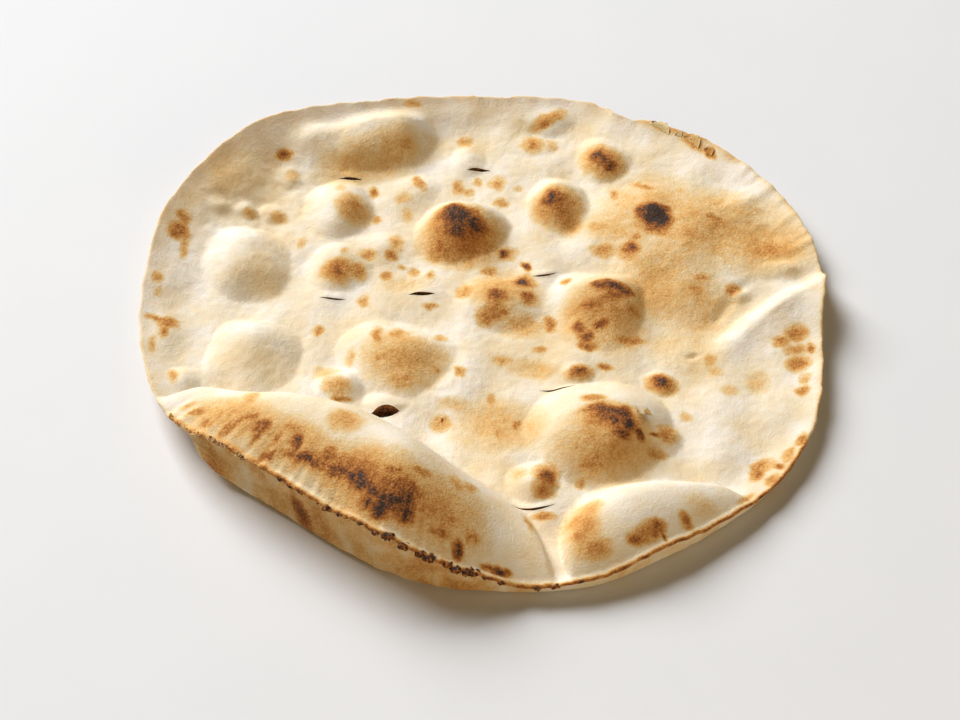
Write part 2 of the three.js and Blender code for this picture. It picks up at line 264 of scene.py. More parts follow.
def fold_height(x, y):
    sides = []
    for (from_x, from_y), (to_x, to_y) in FOLD_LINES:
        run_x, run_y = to_x - from_x, to_y - from_y
        sides.append(((y - from_y) * run_x - (x - from_x) * run_y) / math.hypot(run_x, run_y))
    flap = -smooth_max(-sides[0], -sides[1], FOLD_CORNER)
    climb = smooth_step(flap / FOLD_CLIMB_WIDTH)
    fall = np.exp(-np.maximum(flap - FOLD_CLIMB_WIDTH, 0) / FOLD_FALL)
    dip = FOLD_DIP * np.exp(-(flap / FOLD_DIP_WIDTH) ** 2)
    end, full = FOLD_RUN_OUT
    return smooth_step((y - end) / (full - end)) * (FOLD_CLIMB * climb * fall - dip)


# Creases and wrinkles
# Thin dough gathers where it was pinched or pushed: short creases round the fold, and fine wrinkles
# that run in from the seam over the near side of the long bubbles and at the back right.

# Where the crease starts, bends and ends, half width, and depth (below 0 is a ridge)
CREASES = [
    ((158, 37), (145, 26), (128, 34), 4, 1.6),
    ((121, 26), (112, 12), (104, 2), 3, 1.4),
    ((128, 30), (122, 28), (118, 22), 2.2, 0.8),
    ((158, 41), (148, 40), (134, 46), 2.5, 0.9),
    ((155, 38), (146, 36), (140, 38), 1.6, -0.8),
    ((156, 50), (142, 60), (128, 66), 3.5, 0.9),
    ((152, 62), (140, 70), (130, 74), 3, 0.8),
    ((148, 72), (138, 78), (128, 82), 2.5, 0.7),
    ((100, -16), (96, -18), (91, -18), 1.4, 1.4),
    ((-157, 36), (-153, 33), (-148, 34), 1.2, 0.6),
    ((-122, 80), (-128, 79), (-134, 73), 4, 1),
    ((-28, -37), (-18, -40), (-10, -35), 2, 0.5),
]
CREASE_STEPS = 24
CREASE_END = 0.08
# Degrees of rim from and to, how far in from the lip the wrinkles fade, their pitch and their depth
WRINKLES = [
    (200, 234, 12, 5, 0.7),
    (228, 274, 9, 3.6, 0.4),
    (284, 322, 5, 4.5, 0.3),
    (8, 38, 20, 6, 1.1),
    (128, 160, 12, 6, 0.4),
]
WRINKLE_STRETCH = 6
WRINKLE_END = 5
WRINKLE_SEEDS = (40, 60)
FINER_WRINKLES = 0.5
# Pebbled crust at the back left, full out to half its reach and gone at one and a half times it
PEBBLES = {"x": -118, "y": 98, "reach": 52, "pitch": 5, "height": 0.35, "seed": 5}
# Low relief all over: height and pitch of each layer
SKIN_RELIEF = [(0.18, 3.2), (0.18, 6.4)]
SKIN_SEED = 32
# Over a bubble that lifts it this far the skin is drawn tight, and loses this share of its relief
TAUT_LIFT = 8
TAUT_SHARE = 0.85


def crease_depth(x, y):
    total = np.zeros_like(x)
    for start, bend, end, width, depth in CREASES:
        nearest = np.full_like(x, np.inf)
        along = np.zeros_like(x)
        for step in np.linspace(0, 1, CREASE_STEPS):
            near_start, near_bend, near_end = (1 - step) ** 2, 2 * step * (1 - step), step ** 2
            line_x = near_start * start[0] + near_bend * bend[0] + near_end * end[0]
            line_y = near_start * start[1] + near_bend * bend[1] + near_end * end[1]
            distance = np.hypot(x - line_x, y - line_y)
            along = np.where(distance < nearest, step, along)
            nearest = np.minimum(distance, nearest)
        fade = np.sin(math.pi * np.clip(along, CREASE_END, 1 - CREASE_END))
        total += depth * fade * np.exp(-(nearest / width) ** 2)
    return total


def window(angle, start, end, fade):
    """1 between two places on the rim, fading to 0 past them, all in degrees."""
    degrees = np.degrees(angle % TURN)
    return smooth_step((degrees - start) / fade + 0.5) * smooth_step((end - degrees) / fade + 0.5)


def wrinkle_height(inward, angle, arc):
    total = np.zeros_like(inward)
    drawn = inward / WRINKLE_STRETCH
    for index, (start, end, reach, pitch, depth) in enumerate(WRINKLES):
        wide_seed, fine_seed = (seed + index for seed in WRINKLE_SEEDS)
        gathers = noise(arc, drawn, pitch, wide_seed)
        gathers = gathers + FINER_WRINKLES * noise(arc, drawn, pitch / 2, fine_seed)
        total += depth * gathers * window(angle, start, end, WRINKLE_END) * np.exp(-inward / reach)
    return total


def pebble_height(x, y):
    distance = np.hypot(x - PEBBLES["x"], y - PEBBLES["y"]) / PEBBLES["reach"]
    return PEBBLES["height"] * noise(x, y, PEBBLES["pitch"], PEBBLES["seed"]) * smooth_step(1.5 - distance)


def noise_layers(x, y, layers, seed):
    """Sum of random fields, each with its strength and pitch."""
    return sum(strength * noise(x, y, pitch, seed + index) for index, (strength, pitch) in enumerate(layers))


# Toast
# The oven browns whatever stands up: the tops of blisters and bubbles, and the seam. Colour runs from
# pale crust through gold and brown to charcoal, in spots with soft, mottled edges. A few faint marks are
# painted shade instead, on slopes that face away from the light.

# x and y, half length, half width, turn in degrees, and how dark the middle is: 0.3 is gold, 0.6 brown,
# 0.85 dark brown and 1 charcoal
TOAST_AND_SHADE_MARKS = [
    # back left
    (-99, 108, 5.5, 3, 22, 0.62), (-145, 63, 4, 5.5, 0, 0.45), (-147, 55, 6.5, 6, 0, 0.62),
    (-144, 46, 2.5, 8, 0, 0.42), (-114, 71, 4, 4, 0, 0.3), (-100, 70, 5, 4, 0, 0.3),
    (-94, 96, 5, 5, 0, 0.24), (-64, 73, 11, 11, 0, 0.36), (-63, 75, 6, 6, 0, 0.44),
    (-71, 86, 4, 4, 0, 0.22), (-88, 54, 3, 4, 0, 0.24), (-67, 45, 2, 4, 0, 0.25),
    # painted shade, not toast, in all three marks on the next line: the near face of the long blister, the
    # dish inside the back left rim, and the lower right side of the dome at the left
    (-52, 108, 40, 14, 20, 0.25), (-128, 92, 42, 16, 35, 0.11), (-104, 28, 17, 13, 0, 0.11),
    # back
    (-10, 122, 5, 4.5, 0, 0.32), (32, 136, 13, 4.5, 30, 0.46), (30, 133, 5, 3, 20, 0.52),
    (24, 120, 7, 8, 0, 0.42), (24, 119, 3, 4, 0, 0.5), (33, 120, 4, 6, 0, 0.3),
    (-32, 93, 3.5, 8, 18, 0.46), (-54, 88, 3.5, 4.5, 0, 0.58), (-53, 70, 3, 3.5, 0, 0.52),
    (-13, 91, 4, 6, 0, 0.45), (-8, 88, 3.5, 3.5, 0, 0.35), (-3, 95, 3, 4, 0, 0.36),
    (6, 94, 5.5, 5.5, 0, 0.44), (16, 91, 3, 3.5, 0, 0.26), (8, 81, 4.5, 4, 0, 0.42),
    (-40, 83, 6, 4, 0, 0.22), (-38, 73, 4, 5, 0, 0.22), (-36, 140, 6, 2, 10, 0.3),
    (-39, 113, 5, 3, 30, 0.36),
    # middle
    (-14, 63, 11, 9, 0, 0.94), (-8, 60, 10, 8, -20, 0.94), (-3.5, 56, 7, 6, -30, 0.8),
    (-14, 55, 9, 6, 0, 0.84), (-11, 54, 24, 19, 0, 0.52), (-21, 47, 9, 7, 0, 0.44), (-3, 50, 12, 6, 0, 0.48),
    (-43, 54, 5, 8, 0, 0.36), (-45, 46, 4.5, 4.5, 0, 0.5), (-56, 45, 5, 4.5, 0, 0.36),
    (-70, 34, 10, 8, 0, 0.5), (-70, 33, 5, 5, 0, 0.62), (-60, 34, 4.5, 6, 0, 0.46),
    (-40, 39, 2, 3, 0, 0.36), (-47, 33, 3.5, 3.5, 0, 0.42), (-34, 36, 4, 3.5, 0, 0.38),
    (-26, 33, 2.5, 4, 0, 0.44), (-57, 18, 4, 5, 0, 0.36), (-26, 14, 4.5, 3, 0, 0.44),
    (-36, 28, 14, 8, 0, 0.16), (9, 48, 4, 3.5, 0, 0.86), (10, 48, 6.5, 5.5, 0, 0.42),
    (19.5, 39, 2.4, 4.5, 30, 0.86), (18, 28.5, 5, 5.5, 0, 0.92), (18, 28, 7.5, 8, 0, 0.52),
    (20, 17, 5, 4.5, 0, 0.68), (20, 17, 7, 7, 0, 0.46), (5.5, 16.5, 4.5, 5, 0, 0.76),
    (5, 15, 7.5, 8, 0, 0.5), (2, 37, 6, 4, 20, 0.46), (-10, 22, 5.5, 7, 0, 0.42), (2, 6, 8, 6, 0, 0.54),
    (7, 8, 6, 5, 0, 0.5), (8, 22, 20, 18, 0, 0.28), (16, 2, 14, 9, -15, 0.3), (30, 3, 4, 7, 15, 0.48),
    (38, 27, 3, 4, 0, 0.54), (25, -12.5, 4, 3, 0, 0.36), (8, -19, 6, 4, 0, 0.3),
    (22, -24, 14, 7, -10, 0.22), (43, -28, 6, 3.5, 15, 0.7), (43, -28, 9, 5, 15, 0.48),
    (55, -24, 5, 2.2, -10, 0.6), (3, -43, 3, 6, 0, 0.32),
    # back right
    (33, 78, 9, 7, 15, 0.76), (31, 77, 5, 5, 0, 0.68), (35, 75, 15, 14, 20, 0.44), (40, 66, 9, 9, 20, 0.4),
    (55, 108.5, 5, 5, 0, 0.88), (61.5, 102.5, 6, 4.5, -25, 0.9), (58.5, 105.5, 5, 4.5, -40, 0.8),
    (58.5, 106, 14, 11, -35, 0.5), (82, 67.5, 12, 10, -35, 1.25), (81, 64, 13, 12, -20, 0.58),
    (82, 58, 9, 5, 0, 0.6), (69, 47, 5, 5, 0, 0.84), (69, 46, 8, 8.5, 10, 0.56), (57, 48, 9, 6, -20, 0.46),
    (55, 63, 7, 5, -30, 0.34), (75, 92, 5, 3, -20, 0.42), (79, 89, 6, 2.5, -18, 0.52),
    (63, 85, 3.5, 5.5, 0, 0.46), (110.5, 67, 7, 4.5, -35, 0.54), (101, 69, 4, 6, 0, 0.36),
    (96, 87, 4, 4, 0, 0.3), (72, 53, 4, 3.5, 0, 0.5), (102, 30, 6, 5, 20, 0.48), (99.5, 23, 6, 6, 0, 0.4),
    (117.5, 24.5, 4.5, 4, 10, 0.54), (103, 8, 4, 6, 0, 0.3), (104, -20, 4, 4.5, 0, 0.34),
    (106, -26, 5, 4, 0, 0.26), (115, 55, 52, 24, -8, 0.32), (90, 72, 44, 28, -20, 0.28),
    (84, 28, 34, 30, 0, 0.28), (100, 15, 24, 26, 0, 0.24), (65, 60, 20, 15, -30, 0.3),
    (135, 50, 24, 10, -5, 0.4), (100, 56, 16, 9, 0, 0.34), (120, 74, 28, 16, -20, 0.26),
    (88, 129, 9, 3, -35, 0.3), (104, 117.5, 10, 3.5, -43, 0.42), (111.5, 111, 5, 3, -48, 0.6),
    # right of the middle
    (59.5, 18, 10, 5, 0, 0.92), (53.5, 17.5, 6, 4, 0, 0.78), (65.5, 16, 6, 5, -25, 0.84),
    (60, 12.5, 9, 4.5, 0, 0.64), (56, 5, 24, 24, 0, 0.32), (49.5, 8.5, 9, 4, 0, 0.54),
    (53.5, -1.5, 6, 3.5, 20, 0.74), (43.5, -2, 5, 5, 0, 0.66), (47, -7, 5.5, 5, 0, 0.78),
    (47.5, -12.5, 6, 4, 0, 0.68), (67, -8, 10, 4, 5, 0.46), (69, 6, 6, 5, 0, 0.42),
    (80.5, -32.5, 6.5, 5.5, -35, 0.92), (81, -33, 9, 8, -30, 0.54),
    # left
    (-155, 27, 3, 4.5, 0, 0.4), (-154, 19, 2.5, 4, 0, 0.28), (-153, 3, 7, 3, -8, 0.52),
    (-148, 1, 6, 5, 0, 0.5), (-150, -5, 3, 5, 0, 0.52), (-154, -13, 2.5, 6, 0, 0.32),
    (-78, -2, 3, 4.5, -30, 0.44), (-143, -32, 3, 5, 10, 0.38), (-73, -28, 8, 6, 0, 0.26),
    (-68, -37, 8, 7, -20, 0.44), (-66, -43, 6, 2, -5, 0.62), (-62, -20, 3, 5, 0, 0.32),
    # dome left of the middle and the dough in front of it
    (-37, -22, 23, 20, 0, 0.34), (-50, -11, 3.5, 10, 3, 0.5), (-40, -8, 6, 7, 0, 0.44),
    (-21, -7, 4.5, 4, 0, 0.42), (-48, -23, 4, 3, 0, 0.42), (-23, -27, 4, 3.5, 0, 0.42),
    (-38, -35, 10, 5, 0, 0.36), (-12, -27, 3.5, 4.5, 0, 0.46), (-20, -56, 6.5, 6, 0, 0.46),
    (-20, -54.5, 1.2, 1.2, 0, 1), (14, -57, 2, 5, -18, 0.54), (6, -62, 3, 7, 0, 0.36),
    (5, -58, 26, 18, 0, 0.24), (-14, -46, 10, 5, 0, 0.26),
    # front dome
    (51, -59, 9, 4.5, 5, 0.86), (61, -61, 7.5, 5, -15, 0.9), (56, -65, 10, 3.5, -15, 0.74),
    (64.5, -67, 6, 5.5, -30, 0.92), (69, -70, 3, 4.5, 0, 0.88), (61, -72, 6, 4, 0, 0.74),
    (57, -64, 19, 11, -10, 0.58), (53, -74, 28, 22, 0, 0.33), (48.5, -83, 10, 5.5, 0, 0.46),
    (82, -65, 6, 6, 0, 0.48), (76, -67.5, 3, 1.4, 0, 0.8), (76, -75.5, 7, 4, 0, 0.38),
    (48.5, -52, 7.5, 4, 0, 0.5), (56.5, -60.5, 8, 4.5, 0, 0.74), (42, -91, 3, 3, 0, 0.36),
    (27.5, -89, 5.5, 6.5, -10, 0.8), (27, -88, 8, 9.5, 0, 0.52), (25.5, -96, 7, 5, 0, 0.46),
    (15, -87, 5, 5, 0, 0.2), (26, -109, 7, 3, 5, 0.5),
    # right edge
    (137, -10.5, 5, 4, 0, 0.54), (144.5, -6.5, 6.5, 5.5, 0, 0.52), (144, -15, 7, 3.5, 0, 0.44),
    (144, -23, 7.5, 5.5, 0, 0.6), (151, -15, 2.5, 4, 0, 0.55), (145, -39, 4.5, 3.5, 0, 0.52),
    (146, -32, 4, 4, 0, 0.36), (125, -33, 7, 9, 0, 0.2), (112, -38, 5, 4, 0, 0.22),
    (91, -53, 3, 3.5, 0, 0.28), (121, -85, 4, 7, -30, 0.6), (124, -81, 7, 5, 30, 0.42),
    (131, -82.5, 3, 3, 0, 0.6), (136, -76.5, 6, 3, 50, 0.4), (142, -68.5, 3, 5, -30, 0.5),
    (127, -91, 4, 5, -40, 0.42), (115, -102, 7, 3, 45, 0.4), (95, -12, 20, 24, 0, 0.14),
    # front right bubble
    (46, -112, 6, 9, 10, 0.36), (39.5, -128, 4, 3.5, 0, 0.44), (48, -134, 7.5, 6, 0, 0.4),
    (41.5, -121, 10, 20, 5, 0.36), (74, -123, 5.5, 4, 0, 0.68), (65.5, -129, 5.5, 3.5, 20, 0.64),
    (70, -126, 10, 5, 25, 0.5), (77.5, -127, 1.2, 3, 40, 0.76), (86.5, -118, 3.5, 4, 0, 0.5),
    # the last mark on the next line is painted shade on the right end of this bubble, not toast
    (88, -120, 3, 2.5, 0, 0.42), (94, -110, 10, 6, 0, 0.14),
    # left end of the long bubble at the front
    (-133, -59, 6, 2.4, -8, 0.34), (-128, -65, 10, 2.4, -12, 0.44), (-117, -70, 6, 1.8, 30, 0.36),
    (-123, -73, 5, 3, 0, 0.48), (-114, -80, 6.5, 3.6, 30, 0.6), (-109, -78, 4, 3, 0, 0.44),
    (-104, -65, 5, 7, 0, 0.34), (-103, -77, 6.5, 2.6, 0, 0.56), (-98, -83, 6.5, 5, -20, 0.68),
    (-100, -87, 6, 3, 30, 0.52), (-90, -90, 6.5, 2.6, 30, 0.48), (-95, -96, 6, 3, 10, 0.66),
    (-84, -87, 7, 4.5, -15, 0.48), (-82, -93, 4, 6, 0, 0.76), (-86, -97, 6, 3, 0, 0.64),
    (-61, -84, 10, 9, -20, 0.32), (-85, -92, 32, 13, -28, 0.32), (-112, -74, 30, 14, -30, 0.32),
    (-85, -99, 34, 7, -28, 0.28), (-50, -127, 34, 6, -20, 0.28),
    # char along the middle of it
    (-79, -100, 10, 4, -22, 0.8), (-72, -104, 8, 4, -25, 0.74), (-67, -101, 4.5, 4.5, 0, 0.7),
    (-64, -108, 10, 4.5, -25, 0.8), (-57, -111, 7, 4.5, -20, 0.84), (-53, -116, 9, 5, -25, 0.84),
    (-48, -120, 8, 5, -25, 0.84), (-42, -124, 9, 6, -15, 0.86), (-35, -124, 9, 6.5, -10, 0.86),
    (-35, -129, 8.5, 5.5, -8, 0.9), (-45, -127, 6, 5, -20, 0.84), (-51, -124, 6, 4, -25, 0.78),
    (-39, -112, 4.5, 3, 0, 0.76), (-37, -118, 5, 5, 0, 0.8), (-32, -120, 8, 5, -15, 0.7),
    (-60, -108, 36, 9, -25, 0.56), (-40, -121, 20, 12, -18, 0.6), (-50, -113, 40, 18, -22, 0.4),
    # right end of it
    (-27, -111, 6, 3, 0, 0.54), (-19, -127, 26, 21, -15, 0.36), (-13, -111, 5, 6, 0, 0.38),
    (-7, -110, 5, 5, 0, 0.36), (-20, -135, 8, 3, -12, 0.6), (-12, -139.5, 3.8, 5, 0, 0.9),
    (-6, -134, 6, 5, -10, 0.48), (5, -144, 7.5, 2.4, -6, 0.9), (19, -117, 2.5, 9, 12, 0.34),
]
TOAST_JOIN_POWER = 5
# Degrees of rim from and to, how far in the colour reaches, and how dark the lip is
EDGE_TOAST = [
    (203, 228, 3.5, 0.42), (226, 283, 1.5, 0.6), (281, 335, 1.3, 0.6), (333, 360, 1.3, 0.2),
    (0, 14, 1.3, 0.2), (10, 44, 1.6, 0.14), (40, 60, 3, 0.3), (60, 100, 1, 0.16), (100, 205, 1, 0.12),
]
EDGE_TOAST_FADE = 3
EDGE_TOAST_PITCH = 5
EDGE_TOAST_UNEVEN = 0.5
EDGE_TOAST_SEED = 112
# Mottling: how far spots are pushed out of round and how much their darkness varies, each with its pitch
SPOT_SHIFTS = [(1.1, 7), (0.8, 2.8)]
SPOT_SHIFT_SEEDS = (80, 90)
SPOT_MOTTLES = [(0.16, 5), (0.16, 2.2)]
SPOT_MOTTLE_SEED = 100
# Streaks that run in from the seam of the long bubble: degrees of rim, reach, pitch and strength
STREAKS = {"from": 205, "to": 282, "reach": 26, "pitch": 2.6, "share": 0.35, "seed": 110}


def toast_at(x, y, from_edge, angle, arc):
    """How far the upper skin is browned, with a few marks of painted shade, from 0 to about 1.2."""
    x_seed, y_seed = SPOT_SHIFT_SEEDS
    shifted_x = x + noise_layers(x, y, SPOT_SHIFTS, x_seed)
    shifted_y = y + noise_layers(x, y, SPOT_SHIFTS, y_seed)
    total = np.zeros_like(x)
    for mark_x, mark_y, half_length, half_width, turn, darkness in TOAST_AND_SHADE_MARKS:
        along, across = turned(shifted_x, shifted_y, mark_x, mark_y, turn)
        reach = np.hypot(along / half_length, across / half_width)
        total += (darkness * np.maximum(1 - reach ** 2, 0)) ** TOAST_JOIN_POWER
    uneven = 1 + EDGE_TOAST_UNEVEN * noise(arc, from_edge, EDGE_TOAST_PITCH, EDGE_TOAST_SEED)
    for start, end, reach, darkness in EDGE_TOAST:
        edge = darkness * uneven * window(angle, start, end, EDGE_TOAST_FADE)
        total += (edge * np.exp(-(from_edge / reach) ** 2)) ** TOAST_JOIN_POWER
    total = total ** (1 / TOAST_JOIN_POWER)
    mottle = 1 + noise_layers(x, y, SPOT_MOTTLES, SPOT_MOTTLE_SEED)
    streaks = noise(arc, from_edge / WRINKLE_STRETCH, STREAKS["pitch"], STREAKS["seed"])
    near_seam = window(angle, STREAKS["from"], STREAKS["to"], WRINKLE_END)
    near_seam = near_seam * np.exp(-(from_edge / STREAKS["reach"]) ** 2)
    return total * (mottle + STREAKS["share"] * streaks * near_seam)


# Bread
# The whole bread as one closed skin: the upper crust with its blisters, the lip, and the lower crust.
# Char is blistered, the lip is crimped where the skins were pressed together, and slits run through.

MEAN_RADIUS = 155  # at which arcs round the rim are measured
CHAR_TOAST = (0.8, 1)  # browning at which char starts to blister, and at which it does so fully
CHAR_PITCH = 1.8
CHAR_HEIGHT = 0.28
CHAR_SEED = 31
# How far crimps push the lip in and out, and their pitch
CRIMPS = [(0.45, 9), (0.35, 3.6)]
CRIMP_SEED = 10
CRIMP_RISE = 0.8
CRIMP_RISE_SEED = 15
CRIMP_REACH = 5
# Degrees of rim from and to, and how much stronger the crimps are there
CRIMP_STRETCHES = [(200, 285, 1.6), (35, 70, 1.4)]
# Torn notches in the rim: degrees from and to, and depth
NOTCHES = [(60.5, 65.6, 2.2), (110, 116, 1), (85, 92, 0.8)]
NOTCH_FADE = 0.7
LIP_ROUND = 1.3
# The underside stands clear of the floor in hollows, wherever its noise is above the level at which it rests
UNDERSIDE_HOLLOW = 1.6
UNDERSIDE_PITCH = 30
UNDERSIDE_RESTS = 0.1
UNDERSIDE_SEED = 30

# Slits: x and y of the middle, length, width, turn in degrees, and how far the middle bows out
SLITS = [
    (-66, 96, 12, 1.2, -2, 0),
    (-3, 102.5, 12, 1.4, 3, 0.5),
    (-30, 20.5, 13, 1.7, 2, 0),
    (-72, 19, 13, 0.9, 0, -0.7),
    (-46, -50, 14, 5, 4, 0),
    (21, -103, 20, 1, 5, -2.5),
    (33, -36, 17, 1, 5, -2),
    (28, 34, 13, 0.8, 12, -1.5),
]
SLIT_LIP = 0.9
SLIT_LIP_WIDTH = 3


def slit_lip(x, y):
    """The edge behind each slit stands a little higher than the one in front."""
    total = np.zeros_like(x)
    for middle_x, middle_y, length, _, turn, bow in SLITS:
        along, across = turned(x, y, middle_x, middle_y, turn)
        belly = 1 - (2 * along / length) ** 2
        behind = (across - bow * belly) / SLIT_LIP_WIDTH
        rise = SLIT_LIP * np.maximum(belly, 0) * smooth_step(behind + 0.5)
        total += rise * np.exp(-np.maximum(behind, 0) ** 2)
    return total


def lip_at(angle):
    """How far the lip's crimps and notches set it outward of the smooth rim, and its crimps upward."""
    radius = rim_at(angle)[0]
    edge_x, edge_y = radius * np.cos(angle), radius * np.sin(angle)
    strength = np.ones_like(angle)
    for start, end, more in CRIMP_STRETCHES:
        strength = strength + (more - 1) * window(angle, start, end, WRINKLE_END)
    outward = strength * noise_layers(edge_x, edge_y, CRIMPS, CRIMP_SEED)
    for start, end, depth in NOTCHES:
        outward = outward - depth * window(angle, start, end, NOTCH_FADE)
    return outward, CRIMP_RISE * strength * noise(edge_x, edge_y, CRIMPS[0][1], CRIMP_RISE_SEED)


def skins_at(share, angle):
    """Plan position, heights of the lower and the upper skin, swell of the lower one and browning of the
    upper one, at a share of the way from the middle to the rim."""
    radius, seam, rest = rim_at(angle)
    folded = fold_height(radius * np.cos(angle), radius * np.sin(angle))
    outward, upward = lip_at(angle)
    from_edge = (1 - share) * radius
    near_lip = np.exp(-from_edge / CRIMP_REACH)
    reach = share * radius + outward * near_lip
    x = reach * np.cos(angle)
    y = reach * np.sin(angle)
    inward = np.maximum(from_edge - SEAM_WIDTH, 0)
    arc = angle * MEAN_RADIUS

    curl = np.maximum(1 - inward / rest, 0)
    squareness = CURL_POWER + CURL_SQUARING / rest
    lower = (seam + folded) * (1 - (1 - curl ** squareness) ** (1 / squareness))
    hollow = np.maximum(noise(x, y, UNDERSIDE_PITCH, UNDERSIDE_SEED) - UNDERSIDE_RESTS, 0)
    lower = lower + UNDERSIDE_HOLLOW * hollow * smooth_step((inward - rest) / UNDERSIDE_PITCH)
    dish_width = np.maximum(rest, DISH_LEAST) + SEAM_WIDTH
    dish = seam * np.maximum(1 - from_edge / dish_width, 0) ** DISH_POWER
    body = smooth_step(inward / THINNING)
    thickness = SEAM_THICKNESS + (CRUST_THICKNESS - SEAM_THICKNESS) * smooth_step(from_edge / dish_width)

    shifted_x = x + WAVE_SHIFT * waves(x, y, seed=1)
    shifted_y = y + WAVE_SHIFT * waves(x, y, seed=2)
    ground = dish + fold_height(x, y) + thickness
    raised = blister_height(shifted_x, shifted_y) + WAVE_HEIGHT * waves(x, y, seed=3)
    raised = raised + slit_lip(x, y) - crease_depth(x, y) + pebble_height(x, y)
    sheet = ground + body * raised
    lift = bubble_lift(inward, angle, seam + SEAM_THICKNESS, sheet, BUBBLE_FILLET * body)
    toast = toast_at(x, y, from_edge, angle, arc)
    faint, full = CHAR_TOAST
    char = smooth_step((toast - faint) / (full - faint)) * CHAR_HEIGHT * noise(x, y, CHAR_PITCH, CHAR_SEED)
    slackness = 1 - TAUT_SHARE * smooth_step(lift / TAUT_LIFT)
    skin = noise_layers(x, y, SKIN_RELIEF, SKIN_SEED) * body * slackness
    upper = sheet + lift + wrinkle_height(inward, angle, arc) + char + skin
    lower = np.minimum(lower, upper - SKINS_LEAST)

    half = 0.5 * (upper - lower)
    middle = lower + half + upward * near_lip
    half = half * np.sqrt(1 - (1 - np.minimum(from_edge / LIP_ROUND, 1)) ** 2)

    steep, slack = BELLY_REST
    climbed = np.clip(lower / (seam + folded), 0, 1)
    steepness = smooth_step((slack - rest) / (slack - steep))
    swell = BELLY_SWELL * seam * steepness * 4 * climbed * (1 - climbed) * smooth_step(inward)
    return x, y, np.maximum(middle - half, 0), middle + half, swell, toast


# Rows of corners: rings of the sheet out to its edge, then rows at these distances from the lip
SHEET_RINGS = 138
RING_SIDES = 6
SHEET_EDGE = 12
UPPER_RIM_ROWS = (11, 10, 9, 8, 7, 6, 5, 4, 3.2, 2.4, 1.8, 1.2, 0.7, 0.3, 0.1, 0)
LOWER_LIP_ROWS = (0.1, 0.3, 0.7, 1.2, 2, SEAM_WIDTH)
CURL_STEPS = 14
LOWER_CORNERS = 560
UNDERSIDE_RINGS = 46


def join_rows(outer, inner):
    """Triangles between two rows of corners that run anticlockwise, facing up if the first is the outer."""
    outer_steps = (np.arange(len(outer)) + 1) / len(outer)
    inner_steps = (np.arange(len(inner)) + 1) / len(inner) if len(inner) > 1 else np.zeros(0)
    on_outer = np.concatenate([np.ones(len(outer_steps), bool), np.zeros(len(inner_steps), bool)])
    on_outer = on_outer[np.lexsort((~on_outer, np.concatenate([outer_steps, inner_steps]).round(9)))]
    out = np.cumsum(on_outer) - on_outer
    into = np.cumsum(~on_outer) - ~on_outer
    following = np.where(on_outer, outer[(out + 1) % len(outer)], inner[(into + 1) % len(inner)])
    return np.stack([outer[out % len(outer)], following, inner[into % len(inner)]], 1)


def even_angles(count):
    return np.arange(count) * TURN / count


def rows_of_corners():
    """Share and angle of every row on the upper side, out to the lip, then on the lower side, back in."""
    upper_rows = [(np.zeros(1), np.zeros(1))]
    for ring in range(1, SHEET_RINGS + 1):
        angle = even_angles(RING_SIDES * ring)
        upper_rows.append(((1 - SHEET_EDGE / rim_at(angle)[0]) * ring / SHEET_RINGS, angle))
    angle = even_angles(RING_SIDES * SHEET_RINGS)
    upper_rows += [(1 - from_edge / rim_at(angle)[0], angle) for from_edge in UPPER_RIM_ROWS]
    lower_rows = [(1 - from_edge / rim_at(angle)[0], angle) for from_edge in LOWER_LIP_ROWS]
    angle = even_angles(LOWER_CORNERS)
    radius, _, rest = rim_at(angle)
    squareness = CURL_POWER + CURL_SQUARING / rest
    for step in range(1, CURL_STEPS + 1):
        curl = np.cos(0.25 * TURN * step / CURL_STEPS) ** (2 / squareness)
        lower_rows.append((1 - (SEAM_WIDTH + rest * (1 - curl)) / radius, angle))
    for ring in range(UNDERSIDE_RINGS - 1, 0, -1):
        angle = even_angles(RING_SIDES * ring)
        radius, _, rest = rim_at(angle)
        lower_rows.append(((1 - (SEAM_WIDTH + rest) / radius) * ring / UNDERSIDE_RINGS, angle))
    lower_rows.append((np.zeros(1), np.zeros(1)))
    return upper_rows, lower_rows


upper_rows, lower_rows = rows_of_corners()
all_rows = upper_rows + lower_rows
shares, angles = (np.concatenate([row[column] for row in all_rows]) for column in (0, 1))
row_ends = np.cumsum([len(row[0]) for row in all_rows])
row_numbers = np.split(np.arange(row_ends[-1]), row_ends[:-1])
is_upper = np.arange(len(shares)) < sum(len(row[0]) for row in upper_rows)
plan_x, plan_y, lower_skin, upper_skin, swell, toast = skins_at(shares, angles)
plan_x = plan_x + np.where(is_upper, 0, swell) * np.cos(angles)
plan_y = plan_y + np.where(is_upper, 0, swell) * np.sin(angles)
outline = np.stack([plan_x, plan_y], 1)
outline_middle = (outline.max(0) + outline.min(0)) / 2
corners = np.stack([plan_x, plan_y, np.where(is_upper, upper_skin, lower_skin)], 1)
triangles = []
for index in range(1, len(all_rows)):
    if index < len(upper_rows):
        triangles.append(join_rows(row_numbers[index], row_numbers[index - 1]))
    else:
        triangles.append(join_rows(row_numbers[index - 1], row_numbers[index])[:, ::-1])
triangles = np.concatenate(triangles)

MM = 0.001


def mesh_object(name, points, faces):
    """New object from corners in millimetres, set so that the middle of the bread is over the origin."""
    placed = (points - np.append(outline_middle, 0)) * MM
    mesh = bpy.data.meshes.new(name)
    mesh.from_pydata(placed.tolist(), [], faces)
    made = bpy.data.objects.new(name, mesh)
    bpy.context.scene.collection.objects.link(made)
    return made


# Browning of the lower crust
# The side that lay on the oven wall is golden where it curls up to the seam at the front, partly from
# baking and partly as painted warm light bounced into its shade, pale grey under the front right, and
# spotted brown all over.

# Degrees of rim from and to, and how far the lower crust is browned there, the first stretch with painted
# warm bounce light and shade in it
LOWER_STRETCHES = [(196, 272, 0.28), (278, 335, 0.02)]
LOWER_FADE = 12
LOWER_TOAST = 0.2
